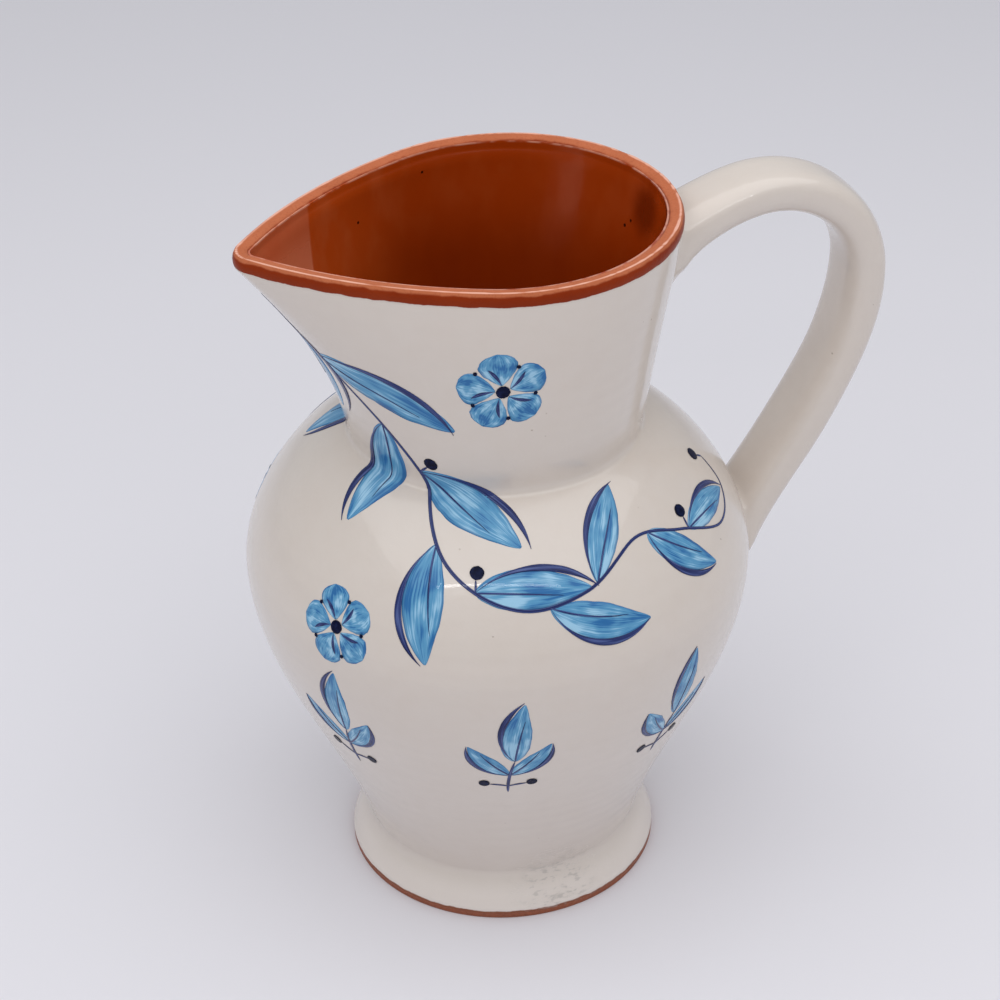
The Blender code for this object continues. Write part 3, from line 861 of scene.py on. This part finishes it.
def paint(colour, line, wide, fullest=0.5, point=0.8, lift=WASH_LIFT):
    """One stroke of the brush along a line, pressed down most at a share of its way.

    The smaller the point, the blunter are the stroke's two ends.
    """
    frames = []
    for i, (turn, climb) in enumerate(line):
        round_, up = steps_at(turn, climb)
        before = Vector(line[max(i - 1, 0)])
        after = Vector(line[min(i + 1, len(line) - 1)])
        run = ((after - before) * Vector((round_.length, up.length))).normalized()
        frames.append((turn, climb, -run.y, run.x / up.length, round_.cross(up).normalized()))
    across = 8 if wide > 0.003 else 4
    bpy.ops.object.select_all(action="DESELECT")
    bpy.ops.mesh.primitive_grid_add(x_subdivisions=len(line) - 1, y_subdivisions=across, size=1.0)
    stroke = bpy.context.object
    seed = brush.uniform(0.0, 100.0)
    skew = math.log(0.5) / math.log(fullest)
    for corner in stroke.data.vertices:
        share = corner.co.x + 0.5
        i = min(int(share * (len(line) - 1)), len(line) - 2)
        part = share * (len(line) - 1) - i
        turn, climb, aside, above, off = frames[i]
        turn_, climb_, aside_, above_, off_ = frames[i + 1]
        swell = 0.05 + 0.95 * max(math.sin(math.pi * share ** skew), 0.0) ** point
        uneven = 1.0 + 0.07 * noise.noise(Vector((9.0 * share, 0.5 * corner.co.y, seed)))
        out = corner.co.y * wide * swell * uneven
        climb += (climb_ - climb) * part
        turn = round_by(turn + (turn_ - turn) * part, climb, out * (aside + (aside_ - aside) * part))
        climb += out * (above + (above_ - above) * part)
        corner.co = on_skin(turn, climb) + lift * off.lerp(off_, part)
    for loop in stroke.data.uv_layers[0].data:
        loop.uv = (loop.uv.x + 2.0 * len(strokes[colour]), loop.uv.y)
    strokes[colour].append(stroke)


def leaf(place, heading, length, side):
    """A leaf: one full sky blue stroke, a cobalt stroke hugging one edge and a thin vein."""
    bend = side * brush.uniform(14.0, 30.0)
    wide = length * brush.uniform(0.32, 0.37)
    paint("sky", walk(place, heading, length, bend), wide, brush.uniform(0.4, 0.5), 0.85)
    edge = walk(place, heading - side * 37.0, 1.14 * length, side * 74.0 + bend)
    paint("cobalt", edge, 0.0012 + 0.03 * length, 0.62, 1.2, LINE_LIFT)
    vein = walk(place, heading + side * 6.0, 0.75 * length, bend - side * 8.0)
    paint("cobalt", vein, 0.0006, 0.25, 0.6, VEIN_LIFT)


def berry(place, heading, stalk, wide):
    """A round navy berry on a thin stalk."""
    line = walk(place, heading, stalk, brush.uniform(-30.0, 30.0), 8)
    paint("cobalt", line, 0.0007, 0.5, 0.4, LINE_LIFT)
    paint("navy", walk(line[-1], heading, wide, 0.0, 10), wide, 0.5, 0.5, DOT_LIFT)


def flower(place, wide):
    """A flower of five round petals with a navy heart, and a cobalt stroke inside each petal."""
    first = brush.uniform(0.0, 72.0)
    for k in range(5):
        heading = first + 72.0 * k
        start = walk(place, heading, 0.09 * wide, 0.0, 4)[-1]
        paint("sky", walk(start, heading, 0.42 * wide, 0.0, 14), 0.42 * wide, 0.62, 0.6)
        paint("cobalt", walk(start, heading + 12.0, 0.27 * wide, 30.0, 10), 0.0011, 0.6, 0.9, LINE_LIFT)
        between = walk(place, heading + 36.0, 0.34 * wide, 0.0, 4)[-1]
        paint("navy", walk(between, heading + 36.0, 0.0013, 0.0, 6), 0.0013, 0.5, 0.5, DOT_LIFT)
    heart = walk(place, 180.0, 0.5 * BERRY, 0.0, 4)[-1]
    paint("navy", walk(heart, 0.0, BERRY, 0.0, 10), BERRY, 0.5, 0.5, DOT_LIFT)


def stem(places):
    """A thin cobalt stem through places, and the line that it takes."""
    line = []
    for i in range(len(places) - 1):
        before = Vector(places[max(i - 1, 0)])
        start = Vector(places[i])
        end = Vector(places[i + 1])
        after = Vector(places[min(i + 2, len(places) - 1)])
        leave = start + (end - before) / 6.0
        arrive = end - (after - start) / 6.0
        line += interpolate_bezier(start, leave, arrive, end, 12)[:-1]
    line = [tuple(place) for place in line]
    paint("cobalt", line, STEM_WIDTH, 0.35, 0.35, STEM_LIFT)
    return line


for side in (-1.0, 1.0):
    vine = stem([at(side * azimuth + brush.uniform(-1.0, 1.0), height) for azimuth, height in VINE])
    with_berry = (3, 5, 9) if side < 0.0 else (3, 9)
    gone = 0.0
    waited = 0.006
    count = 0
    for (turn, climb), (turn_, climb_) in zip(vine, vine[1:]):
        round_, up = steps_at(turn, climb)
        run = Vector(((turn_ - turn) * round_.length, (climb_ - climb) * up.length))
        gone += run.length
        waited -= run.length
        if waited > 0.0 or gone > VINE_LEAFY:
            continue
        heading = math.degrees(math.atan2(run.y, run.x))
        turned_to = -side if count % 2 else side
        size = 0.045 - 0.078 * gone
        leaf((turn, climb), heading + turned_to * brush.uniform(36.0, 50.0), size, -turned_to)
        if count in with_berry:
            berry((turn, climb), heading + turned_to * 112.0, 0.004, BERRY)
        waited = 0.0172 + 0.006 * (count % 2)
        count += 1
    berry(vine[-1], 90.0 - side * 35.0, 0.003, BERRY)
    flower(at(side * 106.0, 204.0), 0.027)
    flower(at(side * 146.0, 128.0), 0.026)
    for azimuth in (150.0, 106.0, 62.0):
        line = walk(at(side * azimuth, 66.0), 92.0, 0.020, side * 16.0, 14)
        paint("cobalt", line, STEM_WIDTH, 0.4, 0.5, STEM_LIFT)
        leaf(line[-1], 92.0, 0.028, side)
        leaf(line[8], 140.0, 0.021, -1.0)
        leaf(line[8], 40.0, 0.021, 1.0)
        berry(line[3], 158.0, 0.006, 0.0036)
        berry(line[3], 22.0, 0.006, 0.0036)

washes = {"sky": (SKY_BODY, SKY_POOLED, SKY_THIN, 0.25, 0.12),
          "cobalt": (COBALT_BODY, COBALT_POOLED, COBALT_THIN, 0.25, 0.12),
          "navy": (NAVY_BODY, NAVY_POOLED, NAVY_THIN, 0.08, 0.05)}
for colour, (body, pooled, thin, coat, shine) in washes.items():
    bpy.ops.object.select_all(action="DESELECT")
    for stroke in strokes[colour]:
        stroke.select_set(True)
    bpy.context.view_layer.objects.active = strokes[colour][0]
    bpy.ops.object.join()
    painting = bpy.context.object
    painting.name = colour + "_paint"
    painting.data.name = colour + "_paint"
    ink = Finish(colour + "_under_glaze", coat, 0.025)
    ink.shader.inputs["Specular IOR Level"].default_value = shine
    own = ink.node("ShaderNodeTexCoord", {}, {}, "UV")
    along = ink.node("ShaderNodeMath", {"operation": "MODULO"}, {0: ink.coordinate("X", own), 1: 2.0})
    hairs = ink.grain(1.0, 3.0, (2.5, 22.0, 1.0), own)
    pools = ink.grain(1.0, 2.0, (2.6, 2.6, 1.0), own)
    edge = ink.node("ShaderNodeMath", {"operation": "ABSOLUTE"}, {0: ink.coordinate("Y", own) - 0.5})
    wet = 0.6 * hairs + 1.1 * pools + 0.12 * (0.5 - along)
    tone = ink.mix(body, thin, 0.9 * ink.ramp(wet, 0.85, 1.03))
    tone = ink.mix(tone, pooled, 0.9 * ink.ramp(wet, 0.84, 0.66))
    tone = ink.mix(tone, pooled, 0.6 * ink.ramp(edge + 0.15 * pools, 0.50, 0.57))
    ink.wear(tone, 0.2, ink.bump(ink.grain(0.004, 2.0), 0.00012))
    painting.data.materials.append(ink.material)
    skin = painting.modifiers.new("skin", "SOLIDIFY")
    skin.thickness = STROKE_SKIN
    skin.offset = -1.0
    bpy.ops.object.modifier_apply(modifier="skin")
    bpy.ops.object.shade_smooth()
    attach(painting, "root")


# The studio: a light tent over a pale grey floor. Its roof is one wide soft lamp, with a thin bright
# strip along the front edge, and its walls are the even light of the air around.
bpy.ops.object.select_all(action="DESELECT")
bpy.ops.mesh.primitive_plane_add(size=8.0, location=(0.0, 0.0, 0.0))
sweep = bpy.context.object
sweep.name = "studio_floor"
paper = Finish("studio_paper")
paper.feed(paper.shader.inputs["Base Color"], (0.80, 0.79, 0.835, 1.0))
paper.feed(paper.shader.inputs["Roughness"], 0.9)
sweep.data.materials.append(paper.material)


def lamp(name, place, wide, deep, brightness, tilt):
    """A soft lamp square to the camera. At brightness 1 it looks as bright as white paper in full light."""
    turn = (math.radians(tilt), 0.0, math.radians(-17.5))
    bpy.ops.object.light_add(type="AREA", location=place, rotation=turn)
    made = bpy.context.object
    made.name = name
    made.data.shape = "RECTANGLE"
    made.data.size = wide
    made.data.size_y = deep
    made.data.energy = brightness * math.pi * wide * deep
    made.visible_camera = False


lamp("tent_roof", place=(-0.09, -0.285, 1.05), wide=2.1, deep=1.5, brightness=1.0, tilt=0.0)
lamp("roof_strip", place=(-0.31, -1.0, 1.03), wide=1.3, deep=0.025, brightness=13.0, tilt=48.5)

world = bpy.data.worlds.new("studio_air")
bpy.context.scene.world = world
world.use_nodes = True
air = world.node_tree.nodes["Background"]
air.inputs["Color"].default_value = (0.96, 0.97, 1.0, 1.0)
air.inputs["Strength"].default_value = 0.5
bpy.context.scene.view_settings.view_transform = "Standard"

# The camera looks down on the jug from its left front, as the photographer did.
CAMERA_PLACE = Vector((-0.2276, -0.7219, 0.6201))
CAMERA_RIGHT = Vector((0.9537, -0.3007, 0.0))
CAMERA_AHEAD = Vector((0.2529, 0.8021, -0.5410))
CAMERA_ROLL = math.radians(-1.19)
bpy.ops.object.camera_add()
camera = bpy.context.object
camera.name = "photo_camera"
upright = CAMERA_RIGHT.cross(CAMERA_AHEAD)
right = math.cos(CAMERA_ROLL) * CAMERA_RIGHT + math.sin(CAMERA_ROLL) * upright
upwards = math.cos(CAMERA_ROLL) * upright - math.sin(CAMERA_ROLL) * CAMERA_RIGHT
turn = Matrix((right, upwards, -CAMERA_AHEAD)).transposed()
camera.matrix_world = Matrix.Translation(CAMERA_PLACE) @ turn.to_4x4()
camera.data.lens = 99.7
camera.data.sensor_width = 36.0
camera.data.shift_x = 0.0035
camera.data.clip_start = 0.01
bpy.context.scene.camera = camera
